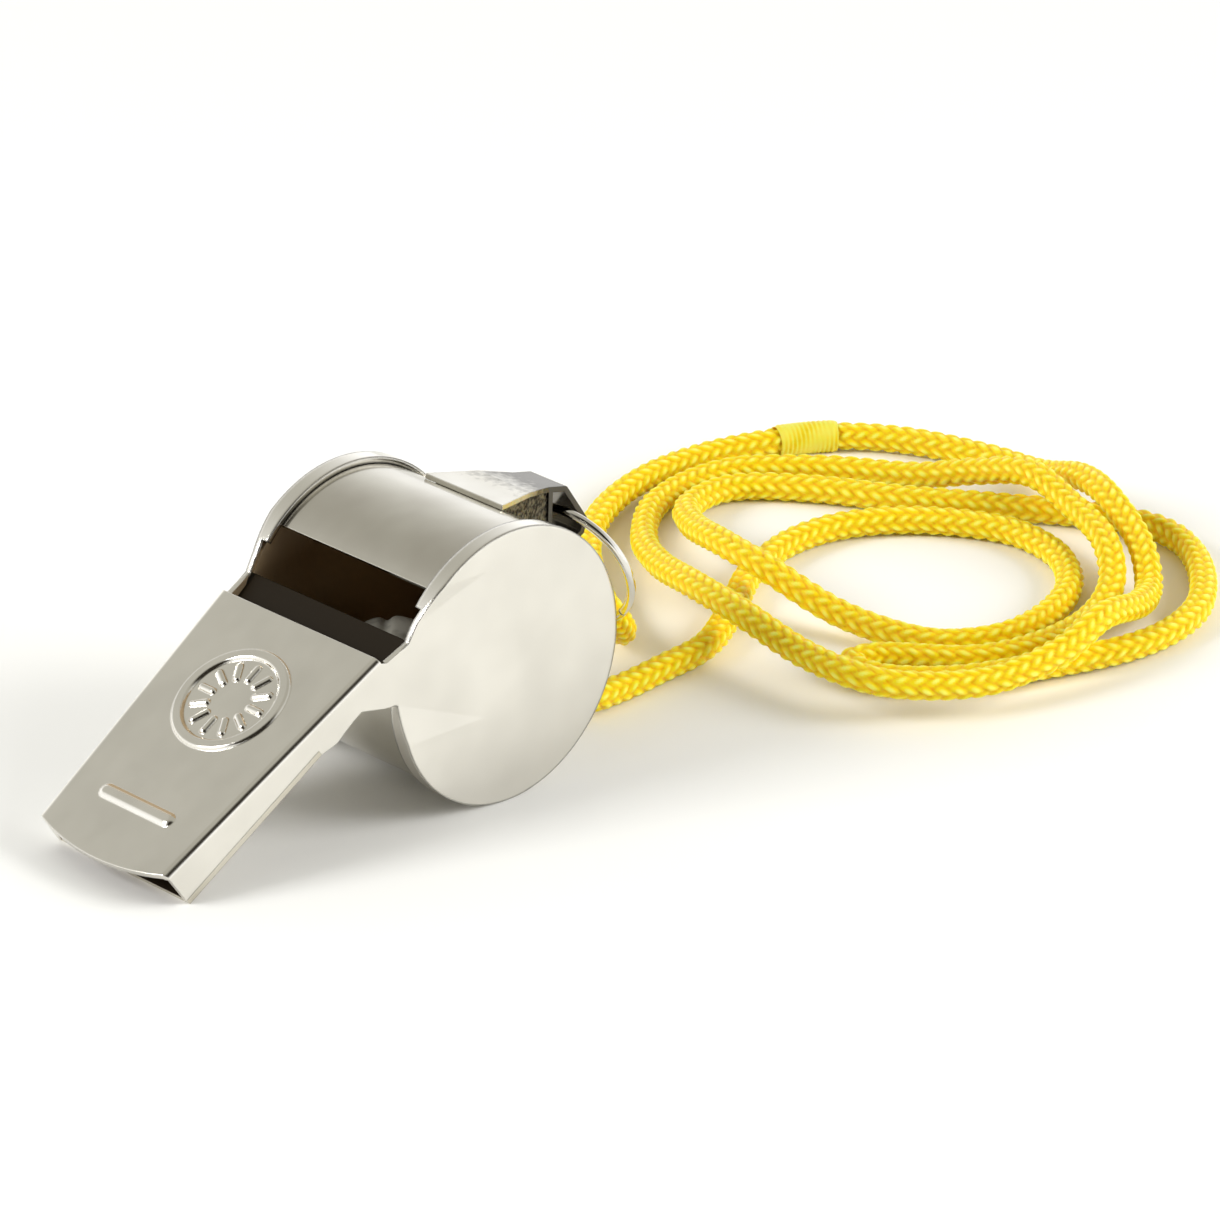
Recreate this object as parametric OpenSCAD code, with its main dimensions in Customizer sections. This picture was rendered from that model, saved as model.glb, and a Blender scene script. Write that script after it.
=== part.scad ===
// Referee's pea whistle in bent and soldered sheet metal, with a swinging wire
// ring and a loop of braided cord laid in flat turns on the floor behind it.
// Millimetres, Z up. The whistle stands on the rims of its two side discs and
// on the lower lip of the mouthpiece. X runs from the mouthpiece to the ring.
// Places in the side view are written as [x from the barrel axis, height], both as
// shares of the disc radius, so that the outlines grow with the discs.

/* [Body] */
// Radius of the two side discs
disc_r = 11.5; // [11:0.1:12.5]
// Width of the body over the two side discs
body_w = 20; // [19:0.5:22]
// Thickness of the folded sheet and of the rolled band
sheet = 0.5; // [0.4:0.05:0.6]
// Width of the turned rim of each side disc
rim_w = 1.5; // [1:0.1:2.5]
// Gap between the turned rims and the rolled band
rim_clearance = 0.05; // [0.02:0.01:0.08]

/* [Mouthpiece] */
// Slope of the top plate above the floor, in degrees
plate_slope = 32.26; // [31.5:0.1:33]
// Half width of the top plate at its tip corners
tip_half_w = 7.47; // [7:0.1:8]
// How far the lip bows out between its corners
lip_bow = 1.3; // [0.6:0.1:1.6]
// Outer radius of the fold between the top plate and each cheek
fold_r = 0.6; // [0.55:0.05:0.9]

/* [Chamber] */
// Diameter of the pea
pea_d = 9.6; // [8.6:0.1:9.8]
// Play between the pea and the band it rolls on
pea_play = 0.25; // [0.1:0.05:0.5]
// Place of the band's sounding edge around the barrel axis, in degrees
edge_angle = 132.75; // [128:0.25:136]

/* [Ring and cord] */
// Radius of the ring at the middle of its wire
ring_r = 6; // [5.5:0.1:6.2]
// Diameter of the ring's wire
wire_d = 0.75; // [0.6:0.05:0.8]
// Diameter of the braided cord
cord_d = 2.5; // [2:0.1:2.5]
// Diameter of the sewn join in the cord
join_d = 2.9; // [2.5:0.1:2.9]

/* [Emboss] */
// Length of the raised bar across the top plate
bar_len = 8.4; // [6:0.2:9]
// Width of the raised bar
bar_w = 1.4; // [1:0.1:1.8]
// Height of the raised bar
bar_h = 0.3; // [0.2:0.05:0.35]
// Radius of the raised round bead on the top plate
bead_r = 4.5; // [3.5:0.1:4.8]
// Count of the short raised rays inside the round bead
ray_count = 12; // [8:1:16]

/* [Hidden] */
$fn = 96;
reach = 80;
half_w = body_w / 2;
band_r = disc_r - sheet - rim_clearance;
// side view of the mouthpiece
tip = disc_r * [-2.9035, 0.2609];
window_end = disc_r * [-1.1643, 1.3583];
// the cheeks spread on their way to the discs and meet them at this place
bend_x = -0.2496 * disc_r;
spread_share = (half_w - tip_half_w) / (bend_x - tip[0]);
spread = atan(spread_share);
plate_spread = atan(spread_share * cos(plate_slope));
lean = atan(tan(plate_slope) * sin(plate_spread));
fold_in = fold_r * (1 - sin(lean)) / cos(lean);
leg_len = 0.7826 * disc_r;
// run of the folded sheet along the top plate, from ahead of its tip
fold_from = -0.2609 * disc_r;
fold_run = 3.1304 * disc_r;
// the plate is cut from a wider sheet than the gap between the discs
plate_spare = 2;
plate_over = 0.3;
lip_r = (tip_half_w * tip_half_w + lip_bow * lip_bow) / (2 * lip_bow);
// under side of the mouthpiece floor: a point on the floor and its slope
floor_foot = disc_r * [-2.7152, 0];
floor_slope = 36;
floor_back = disc_r * [-1.6322, 0.787];
floor_end = disc_r * [-0.8435, 1.36];
floor_len = norm(floor_end - floor_foot);
floor_wide = norm(floor_back - floor_foot);
// outline of a cheek and of the top plate's edge, seen from the side
cheek_edge = disc_r * [
    [-3.0783, 0.1504], [-3.0504, 0.1061], [-2.8757, 0.2165], [-2.7322, 0.0174],
    [-1.6322, 0.787], [-1.507, 0.8339], [-1.4409, 0.8957], [-1.3574, 0.9687],
    [-1.2991, 1.0113], [-1.2322, 1.0009], [-1.1043, 0.9817], [-0.9826, 0.9739],
    [-0.7826, 0.9739], [-0.7826, 1.4522], [-0.8783, 1.4348], [-0.913, 1.4087],
    [-1.0087, 1.3565], [-1.0957, 1.313], [-1.1409, 1.3217],
    [-1.1643, 1.3583], [-2.9565, 1.1652]
];
// heights at which the discs blend into the cheeks
blend_low = 0.687 * disc_r;
blend_high = 1.7652 * disc_r;
blend_slope = 78;
// the window ends here, where the floor meets the band
window_low_angle = 158;
// the turned rims stop between these angles, where the cheeks pass
flange_gap_from = 142;
flange_gap_to = 182;
// raised work on the top plate: distance up the slope from the tip
bar_at = 0.3565 * disc_r;
bead_at = 1.3391 * disc_r;
bead_h = 0.25;
bead_w = 0.7;
ray_len = 1.2;
ray_mid = 2.7;
// lug strip: centre line in the side view, and its widths
lug_sheet = 0.45;
lug_line = disc_r * [
    [0.3652, 1.9017], [0.7391, 1.8609], [1.1565, 1.7696], [1.3565, 1.487], [1.3304, 1.4],
    [1.2348, 1.3478], [1.0783, 1.3478], [1.0148, 1.4087], [1.0148, 1.7957]
];
lug_plan = disc_r * [
    [0.3478, -0.3739], [0.3478, 0.4], [0.9913, 0.1783],
    [1.4348, 0.1783], [1.4348, -0.1783], [0.9913, -0.1783]
];
solder_side = disc_r * [
    [0.4174, 1.887], [1.0087, 1.8], [1.0087, 1.4957], [0.8174, 1.4435], [0.4174, 1.5652]
];
solder_plan = disc_r * [
    [0.3478, -0.3391], [0.3478, 0.3652], [0.9913, 0.1652],
    [1.0435, 0.1652], [1.0435, -0.1652], [0.9913, -0.1652]
];
bead_side = disc_r * [[-0.9652, 1.287], [-0.8696, 1.3739], [-0.8696, 1.1913], [-0.9391, 1.1826]];
// ring: place of its top in the lug, its turn and its lean as it hangs
ring_top = disc_r * [1.1565, -0.0609, 1.5913];
ring_turn = 14;
ring_lean = 22;
ring_down = [
    sin(ring_lean) * cos(ring_turn),
    sin(ring_lean) * sin(ring_turn),
    -cos(ring_lean)
];
ring_mid = ring_top + ring_r * ring_down;
ring_side_share = sqrt(pow(ring_down[0], 2) + pow(sin(ring_turn), 2));
butt_gap = 0.12;
butt_angle = -50;
// the barrel axis lies where the lip and the ring reach equally far
lip_reach = -tip[0] + lip_bow * cos(plate_slope);
ring_reach = ring_mid[0] + ring_r * ring_side_share + wire_d / 2;
barrel_x = (lip_reach - ring_reach) / 2;
// pea at rest on the band
pea_orbit_r = band_r - sheet - pea_d / 2 - pea_play;
pea_y = 3.6;
// cord: middle of the cord all round the loop, in the part's own frame
cord_line = [
    [21.9, -1.8, 4.9], [22.4, -2.6, 3.1], [23.7, -3, 1.9], [27.4, -2.5, 1.3],
    [33.3, -1.9, 1.3], [39.1, -1, 1.3], [46.1, 2.9, 1.3], [52.8, 7.2, 1.3],
    [60.3, 9.7, 1.3], [66.2, 9.3, 1.3], [71.4, 6.4, 1.3], [75.1, 1.7, 1.3],
    [76.3, -2, 1.3], [75.1, -7.6, 1.3], [71.3, -12.2, 1.3], [65.9, -15, 1.3],
    [60, -15.9, 1.3], [56.3, -14.9, 1.3], [53.5, -12.4, 1.3], [51, -5.1, 2],
    [49.4, 2.4, 4.3], [50.3, 8.2, 4.4], [53.9, 15.3, 2.8], [57.7, 19.7, 1.9],
    [62.7, 21.5, 1.5], [66.1, 20.9, 1.3], [70.1, 16.8, 1.3], [74.5, 10, 1.3],
    [79.3, 3.7, 1.3], [84, -2.9, 1.3], [86.2, -8.2, 1.3], [85.8, -11.9, 1.3],
    [82.6, -16.9, 1.3], [76.5, -22.2, 1.3], [71, -24.2, 1.3], [65.2, -24.3, 1.3],
    [57.4, -22.2, 1.3], [49.7, -19.3, 1.3], [45.4, -15.2, 1.3], [45, -12.2, 1.3],
    [45.8, -11.3, 1.3], [48.1, -11.8, 1.3], [53.6, -17.3, 1.3], [59.2, -19, 1.3],
    [67.2, -18.2, 1.3], [72.5, -15.8, 2.2], [76.2, -11.7, 3.7], [79.6, -4.5, 4.1],
    [81.1, 1.4, 4.6], [80.9, 7.3, 3], [79, 12.8, 1.4], [74.3, 19.2, 1.3],
    [68.1, 24, 1.3], [62.6, 24.6, 1.3], [56.9, 23, 1.3], [50.7, 17.9, 1.5],
    [46.1, 11.4, 2.6], [42.7, 4.3, 4.1], [40.6, -3.4, 4.6], [39.8, -11.4, 3.8],
    [39.8, -17.1, 3.8], [41.7, -20, 3.4], [48.7, -23.5, 2.8], [56.5, -24.5, 3.6],
    [62.4, -23.5, 4.6], [70.1, -20.9, 2.7], [75, -17.8, 1.9], [78.6, -13.7, 3.3],
    [82, -6.8, 4.8], [84.6, -1.4, 4.2], [87.2, 5.8, 1.7], [87.1, 11.7, 1.3],
    [84.4, 19.3, 1.3], [80.6, 23.8, 1.3], [75.4, 26.5, 1.3], [67.5, 28.1, 1.4],
    [59.3, 27.4, 1.5], [51.9, 24.5, 1.3], [45.7, 19.7, 1.3], [40.7, 13.4, 1.3],
    [36.3, 6.7, 1.5], [34, 3.7, 2.5], [31.5, 1.9, 4.9], [26.9, 0.7, 8.9],
    [25, 0.3, 9.2], [23.3, -0.4, 8.2]
];
cord_sides = 8;
cord_count = len(cord_line);
bight_from = 80;
bight_to = 87;
join_from = 73;
join_to = 74;

function unit(v) = v / norm(v);
function cord_at(i) = cord_line[(i + cord_count) % cord_count];
function cord_way(i) = unit(cord_at(i + 1) - cord_at(i - 1));
function square_to(u, t) = unit(u - (u * t) * t);
function cord_frames(i, last, u) = i > last
    ? []
    : concat([u], cord_frames(i + 1, last, square_to(u, cord_way(i + 1))));
function cord_rim(i, u, r) = [
    for (k = [0:cord_sides - 1])
        let (a = 360 * (k + 0.5) / cord_sides, v = cross(cord_way(i), u))
            cord_at(i) + r * (cos(a) * u + sin(a) * v)
];
function flat(rows) = [for (row = rows) for (p = row) p];
function cord_length(i = 0) = i >= cord_count
    ? 0
    : norm(cord_at(i + 1) - cord_at(i)) + cord_length(i + 1);
function arc_apart(i, j) = min(abs(i - j), cord_count - abs(i - j));
function least_gap() = min([
    for (i = [0:cord_count - 1]) for (j = [i + 1:1:cord_count - 1])
        if (arc_apart(i, j) > 3) norm(cord_at(i) - cord_at(j)) - cord_d
]);

// a length of the cord from one point of its line to another
module cord_tube(first, last, d) {
    start = square_to([0, 0, 1], cord_way(first));
    turns = cord_frames(first, last, start);
    rows = last - first;
    points = flat([for (i = [0:rows]) cord_rim(first + i, turns[i], d / 2)]);
    n = cord_sides;
    walls = [
        for (i = [0:rows - 1]) for (k = [0:n - 1])
            let (a = i * n + k, b = i * n + (k + 1) % n)
                each [[a, b, b + n], [a, b + n, a + n]]
    ];
    ends = [
        [for (k = [n - 1:-1:0]) k],
        [for (k = [0:n - 1]) rows * n + k]
    ];
    polyhedron(points = points, faces = concat(walls, ends));
}

// a side view outline given a width across the whistle
module across(w) {
    translate([barrel_x, 0, 0])
        rotate([90, 0, 0])
            linear_extrude(height = w, center = true)
                children();
}

// an outline seen from above given a height
module plan(h) {
    translate([barrel_x, 0, 0])
        linear_extrude(height = h)
            children();
}

// a bent strip of sheet in the side view, from its centre line
module strip(line, t) {
    for (i = [0:len(line) - 2]) {
        run = line[i + 1] - line[i];
        translate(line[i])
            rotate([0, 0, atan2(run[1], run[0])])
                translate([0, -t / 2])
                    square([norm(run), t]);
        if (i > 0)
            translate(line[i])
                circle(d = t);
    }
}

// the space beyond one cheek, where the disc bends inwards
module cheek_cut(inset) {
    intersection() {
        translate([bend_x, -half_w, 0])
            rotate([0, 0, -spread])
                translate([-reach, -reach + inset, -reach / 2])
                    cube([reach + rim_w, reach, reach]);
        translate([-reach / 2, -half_w, blend_low])
            rotate([blend_slope, 0, 0])
                translate([0, -reach / 2, -inset])
                    cube([reach, reach, reach]);
        translate([-reach / 2, -half_w, blend_high])
            rotate([-blend_slope, 0, 0])
                translate([0, -reach / 2, inset - reach])
                    cube([reach, reach, reach]);
    }
}

// the barrel's outer shape, drawn in by an inset on its flat sides
module barrel_shape(r, inset) {
    difference() {
        across(body_w - 2 * inset)
            translate([0, disc_r])
                circle(r = r);
        translate([barrel_x, 0, 0]) {
            cheek_cut(inset);
            mirror([0, 1, 0])
                cheek_cut(inset);
        }
    }
}

// wedge of the side view about the barrel axis, between two angles
module sector(from, to, r) {
    translate([0, disc_r])
        polygon(concat([[0, 0]], [
            for (k = [0:8])
                let (a = from + (to - from) * k / 8) 2 * r * [cos(a), sin(a)]
        ]));
}

// side discs with their turned rims
module discs() {
    difference() {
        barrel_shape(disc_r, 0);
        barrel_shape(disc_r - sheet, sheet);
        across(body_w - 2 * rim_w)
            translate([0, disc_r])
                circle(r = disc_r + sheet);
        intersection() {
            barrel_shape(disc_r + sheet, sheet);
            across(body_w)
                difference() {
                    sector(flange_gap_from, flange_gap_to, disc_r);
                    translate([0, disc_r])
                        circle(r = disc_r - 2 * sheet);
                }
        }
    }
}

// section of one cheek with its fold and half of the top plate
module fold_section() {
    translate([fold_in, -sheet])
        square([half_w + plate_spare, sheet]);
    translate([fold_in, -fold_r]) {
        rotate([0, 0, -lean])
            translate([-fold_r, -leg_len])
                square([sheet, leg_len]);
        intersection() {
            difference() {
                circle(r = fold_r);
                circle(r = fold_r - sheet);
            }
            polygon([[0, 0], [0, 2], [-2, 2], 2 * [-cos(lean), sin(lean)]]);
        }
    }
}

// in the plane of the top plate, from the middle of its tip
module on_plate() {
    translate([barrel_x + tip[0], 0, tip[1]])
        rotate([0, -plate_slope, 0])
            children();
}

module folded_half() {
    intersection() {
        on_plate()
            translate([0, -tip_half_w, 0])
                rotate([0, 0, -plate_spread])
                    translate([fold_from, 0, 0])
                        rotate([90, 0, 90])
                            linear_extrude(height = fold_run)
                                fold_section();
        translate([-reach / 2, -reach + plate_over, -1])
            cube([reach, reach, reach]);
    }
}

// cheeks and top plate, cut to their outline
module mouth_shell() {
    intersection() {
        union() {
            folded_half();
            mirror([0, 1, 0])
                folded_half();
        }
        across(body_w + 2)
            difference() {
                polygon(cheek_edge);
                floor_side(floor_wide);
            }
        on_plate()
            translate([lip_r - lip_bow, 0, -reach / 2])
                cylinder(r = lip_r, h = reach);
    }
}

// a low rounded ridge on the top plate, with round ends
module ridge(length, w, h) {
    r = (w * w / 4 + h * h) / (2 * h);
    intersection() {
        translate([0, 0, h - r]) {
            rotate([90, 0, 0])
                cylinder(r = r, h = length - w, center = true);
            for (side = [-1, 1])
                translate([0, side * (length - w) / 2, 0])
                    sphere(r = r);
        }
        translate([-w, -length, -sheet / 2])
            cube([2 * w, 2 * length, sheet]);
    }
}

module raised_work() {
    on_plate() {
        translate([bar_at, 0, 0])
            ridge(bar_len, bar_w, bar_h);
        translate([bead_at, 0, 0]) {
            rotate_extrude()
                translate([bead_r, -sheet / 2])
                    intersection() {
                        circle(d = bead_w + sheet);
                        translate([-bead_w, 0])
                            square([2 * bead_w, sheet / 2 + bead_h]);
                    }
            for (k = [0:ray_count - 1])
                rotate([0, 0, 360 * k / ray_count])
                    translate([ray_mid, 0, 0])
                        rotate([0, 0, 90])
                            ridge(ray_len + bead_w, bead_w, bead_h);
        }
    }
}

// the floor strip in the side view, up to a length from its tip
module floor_side(length) {
    translate(floor_foot)
        rotate([0, 0, floor_slope])
            square([length, sheet]);
}

// plan of the space between the cheeks, drawn in by an inset
module between_cheeks(inset) {
    side = inset / cos(spread);
    far = 4;
    w0 = tip_half_w - spread_share * (tip[0] + reach) - side;
    w1 = tip_half_w - spread_share * (tip[0] + far) - side;
    polygon([[-reach, -w0], [-reach, w0], [-far, w1], [-far, -w1]]);
}

module body_stamping() {
    color([0.83, 0.82, 0.77]) {
        discs();
        mouth_shell();
        raised_work();
    }
}

module barrel_band() {
    color([0.80, 0.79, 0.74])
        intersection() {
            barrel_shape(disc_r, sheet);
            across(body_w)
                difference() {
                    translate([0, disc_r])
                        circle(r = band_r);
                    translate([0, disc_r])
                        circle(r = band_r - sheet);
                    sector(edge_angle, window_low_angle, disc_r);
                    translate(floor_foot)
                        rotate([0, 0, floor_slope])
                            square([floor_len, reach]);
                }
        }
}

module mouthpiece_floor() {
    color([0.74, 0.72, 0.66]) {
        intersection() {
            across(body_w)
                floor_side(floor_wide);
            plan(reach)
                between_cheeks(0);
        }
        intersection() {
            across(body_w)
                floor_side(floor_len);
            plan(reach)
                between_cheeks(sheet);
        }
    }
}

module windway_solder() {
    color([0.62, 0.60, 0.55])
        intersection() {
            across(body_w)
                difference() {
                    polygon(bead_side);
                    translate([0, disc_r])
                        circle(r = band_r, $fn = 360);
                    translate(floor_foot)
                        rotate([0, 0, floor_slope])
                            square([reach, reach]);
                }
            plan(reach)
                between_cheeks(sheet);
        }
}

module lanyard_lug() {
    color([0.78, 0.77, 0.73])
        intersection() {
            across(body_w)
                strip(lug_line, lug_sheet);
            plan(reach)
                polygon(lug_plan);
        }
}

module lug_solder() {
    color([0.40, 0.39, 0.35])
        intersection() {
            across(body_w)
                difference() {
                    polygon(solder_side);
                    strip(lug_line, lug_sheet);
                    translate([0, disc_r])
                        circle(r = band_r);
                }
            plan(reach)
                polygon(solder_plan);
        }
}

module split_ring() {
    color([0.85, 0.85, 0.84])
        translate([barrel_x, 0, 0] + ring_mid)
            rotate([0, 0, ring_turn])
                rotate([0, -ring_lean, 0])
                    rotate([0, 90, 0])
                        difference() {
                            rotate_extrude()
                                translate([ring_r, 0])
                                    circle(d = wire_d);
                            rotate([0, 0, butt_angle])
                                translate([0, -butt_gap / 2, -wire_d])
                                    cube([2 * ring_r, butt_gap, 2 * wire_d]);
                        }
}

module pea() {
    color([0.86, 0.85, 0.80])
        translate([barrel_x, pea_y, disc_r - pea_orbit_r])
            sphere(d = pea_d);
}

module cord_bight() {
    color([0.92, 0.76, 0.08])
        cord_tube(bight_from, bight_to, cord_d);
}

module cord_coil() {
    color([0.92, 0.78, 0.10])
        cord_tube(bight_to - cord_count, join_from, cord_d);
}

module cord_join() {
    color([0.88, 0.72, 0.08])
        cord_tube(join_from, join_to, join_d);
}

module cord_return() {
    color([0.92, 0.78, 0.10])
        cord_tube(join_to, bight_from, cord_d);
}

echo(cord_length = cord_length(), least_gap = least_gap(), barrel_x = barrel_x);
body_stamping();
barrel_band();
mouthpiece_floor();
windway_solder();
lanyard_lug();
lug_solder();
split_ring();
pea();
cord_bight();
cord_coil();
cord_join();
cord_return();
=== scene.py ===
"""Looks of a plated sheet-metal pea whistle with a wire ring and a coil of braided cord.

The metal pieces keep their CAD shapes and get procedural finishes here. The pea, the
cord and its sewn join are built as meshes. Lengths are in metres unless a name says mm.
"""

import logging
import math
from dataclasses import dataclass, field
from enum import Enum

import bpy
from mathutils import Matrix, Vector

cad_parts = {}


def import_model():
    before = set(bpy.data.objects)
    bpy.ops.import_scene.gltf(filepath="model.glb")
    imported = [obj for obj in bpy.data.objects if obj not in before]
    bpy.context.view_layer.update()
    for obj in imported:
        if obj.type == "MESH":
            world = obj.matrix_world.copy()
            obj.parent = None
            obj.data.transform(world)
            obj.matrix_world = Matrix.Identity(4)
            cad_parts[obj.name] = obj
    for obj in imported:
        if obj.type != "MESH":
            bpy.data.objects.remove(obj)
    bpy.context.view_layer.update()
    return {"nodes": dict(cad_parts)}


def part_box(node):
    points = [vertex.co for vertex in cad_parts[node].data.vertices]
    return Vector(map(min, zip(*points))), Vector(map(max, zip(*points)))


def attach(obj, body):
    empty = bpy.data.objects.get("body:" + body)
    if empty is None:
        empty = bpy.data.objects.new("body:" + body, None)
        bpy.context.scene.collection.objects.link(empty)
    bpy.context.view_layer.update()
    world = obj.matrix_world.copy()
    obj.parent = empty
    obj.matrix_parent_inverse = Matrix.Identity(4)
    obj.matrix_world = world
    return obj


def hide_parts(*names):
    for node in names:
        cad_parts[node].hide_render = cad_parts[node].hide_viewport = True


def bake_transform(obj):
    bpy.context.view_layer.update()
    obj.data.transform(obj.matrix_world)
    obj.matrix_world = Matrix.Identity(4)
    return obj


LOG = logging.getLogger("whistle_scene")
MM = 0.001

# The barrel's axis runs across the whistle at this X and Z.
BARREL_AXIS = (0.0080067, 0.0115)

# The middle of the cord all round its loop, in metres, as part.scad has it in millimetres.
# It starts where the cord lies over the ring's wire.
CORD_LINE: list[tuple[float, float, float]] = [
    (0.0250, 0.0003, 0.0092), (0.0233, -0.0004, 0.0082), (0.0219, -0.0018, 0.0049),
    (0.0224, -0.0026, 0.0031), (0.0237, -0.0030, 0.0019), (0.0274, -0.0025, 0.0013),
    (0.0333, -0.0019, 0.0013), (0.0391, -0.0010, 0.0013), (0.0461, 0.0029, 0.0013),
    (0.0528, 0.0072, 0.0013), (0.0603, 0.0097, 0.0013), (0.0662, 0.0093, 0.0013),
    (0.0714, 0.0064, 0.0013), (0.0751, 0.0017, 0.0013), (0.0763, -0.0020, 0.0013),
    (0.0751, -0.0076, 0.0013), (0.0713, -0.0122, 0.0013), (0.0659, -0.0150, 0.0013),
    (0.0600, -0.0159, 0.0013), (0.0563, -0.0149, 0.0013), (0.0535, -0.0124, 0.0013),
    (0.0510, -0.0051, 0.0020), (0.0494, 0.0024, 0.0043), (0.0503, 0.0082, 0.0044),
    (0.0539, 0.0153, 0.0028), (0.0577, 0.0197, 0.0019), (0.0627, 0.0215, 0.0015),
    (0.0661, 0.0209, 0.0013), (0.0701, 0.0168, 0.0013), (0.0745, 0.0100, 0.0013),
    (0.0793, 0.0037, 0.0013), (0.0840, -0.0029, 0.0013), (0.0862, -0.0082, 0.0013),
    (0.0858, -0.0119, 0.0013), (0.0826, -0.0169, 0.0013), (0.0765, -0.0222, 0.0013),
    (0.0710, -0.0242, 0.0013), (0.0652, -0.0243, 0.0013), (0.0574, -0.0222, 0.0013),
    (0.0497, -0.0193, 0.0013), (0.0454, -0.0152, 0.0013), (0.0450, -0.0122, 0.0013),
    (0.0458, -0.0113, 0.0013), (0.0481, -0.0118, 0.0013), (0.0536, -0.0173, 0.0013),
    (0.0592, -0.0190, 0.0013), (0.0672, -0.0182, 0.0013), (0.0725, -0.0158, 0.0022),
    (0.0762, -0.0117, 0.0037), (0.0796, -0.0045, 0.0041), (0.0811, 0.0014, 0.0046),
    (0.0809, 0.0073, 0.0030), (0.0790, 0.0128, 0.0014), (0.0743, 0.0192, 0.0013),
    (0.0681, 0.0240, 0.0013), (0.0626, 0.0246, 0.0013), (0.0569, 0.0230, 0.0013),
    (0.0507, 0.0179, 0.0015), (0.0461, 0.0114, 0.0026), (0.0427, 0.0043, 0.0041),
    (0.0406, -0.0034, 0.0046), (0.0398, -0.0114, 0.0038), (0.0398, -0.0171, 0.0038),
    (0.0417, -0.0200, 0.0034), (0.0487, -0.0235, 0.0028), (0.0565, -0.0245, 0.0036),
    (0.0624, -0.0235, 0.0046), (0.0701, -0.0209, 0.0027), (0.0750, -0.0178, 0.0019),
    (0.0786, -0.0137, 0.0033), (0.0820, -0.0068, 0.0048), (0.0846, -0.0014, 0.0042),
    (0.0872, 0.0058, 0.0017), (0.0871, 0.0117, 0.0013), (0.0844, 0.0193, 0.0013),
    (0.0806, 0.0238, 0.0013), (0.0754, 0.0265, 0.0013), (0.0675, 0.0281, 0.0014),
    (0.0593, 0.0274, 0.0015), (0.0519, 0.0245, 0.0013), (0.0457, 0.0197, 0.0013),
    (0.0407, 0.0134, 0.0013), (0.0363, 0.0067, 0.0015), (0.0340, 0.0037, 0.0025),
    (0.0315, 0.0019, 0.0049), (0.0269, 0.0007, 0.0089),
]


class Inside(Enum):
    """Where a sheet-metal piece's inner side is made dull and given a painted shade colour."""

    NOWHERE = "nowhere"
    CHAMBER = "chamber"
    TOP_SIDE = "top side"


class Body(Enum):
    """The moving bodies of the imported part."""

    WHISTLE = "whistle"
    PEA = "pea"
    RING = "ring"


def linear(hex_code: str) -> tuple[float, float, float, float]:
    """Turns a screen colour into the shader's linear colour.

    Args:
        hex_code: Six hexadecimal digits, with or without a leading hash.

    Returns:
        Linear red, green, blue and an alpha of 1.
    """
    digits = hex_code.lstrip("#")
    parts = [int(digits[i : i + 2], 16) / 255 for i in (0, 2, 4)]
    return tuple(
        c / 12.92 if c <= 0.04045 else ((c + 0.055) / 1.055) ** 2.4 for c in parts
    ) + (1.0,)


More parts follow.
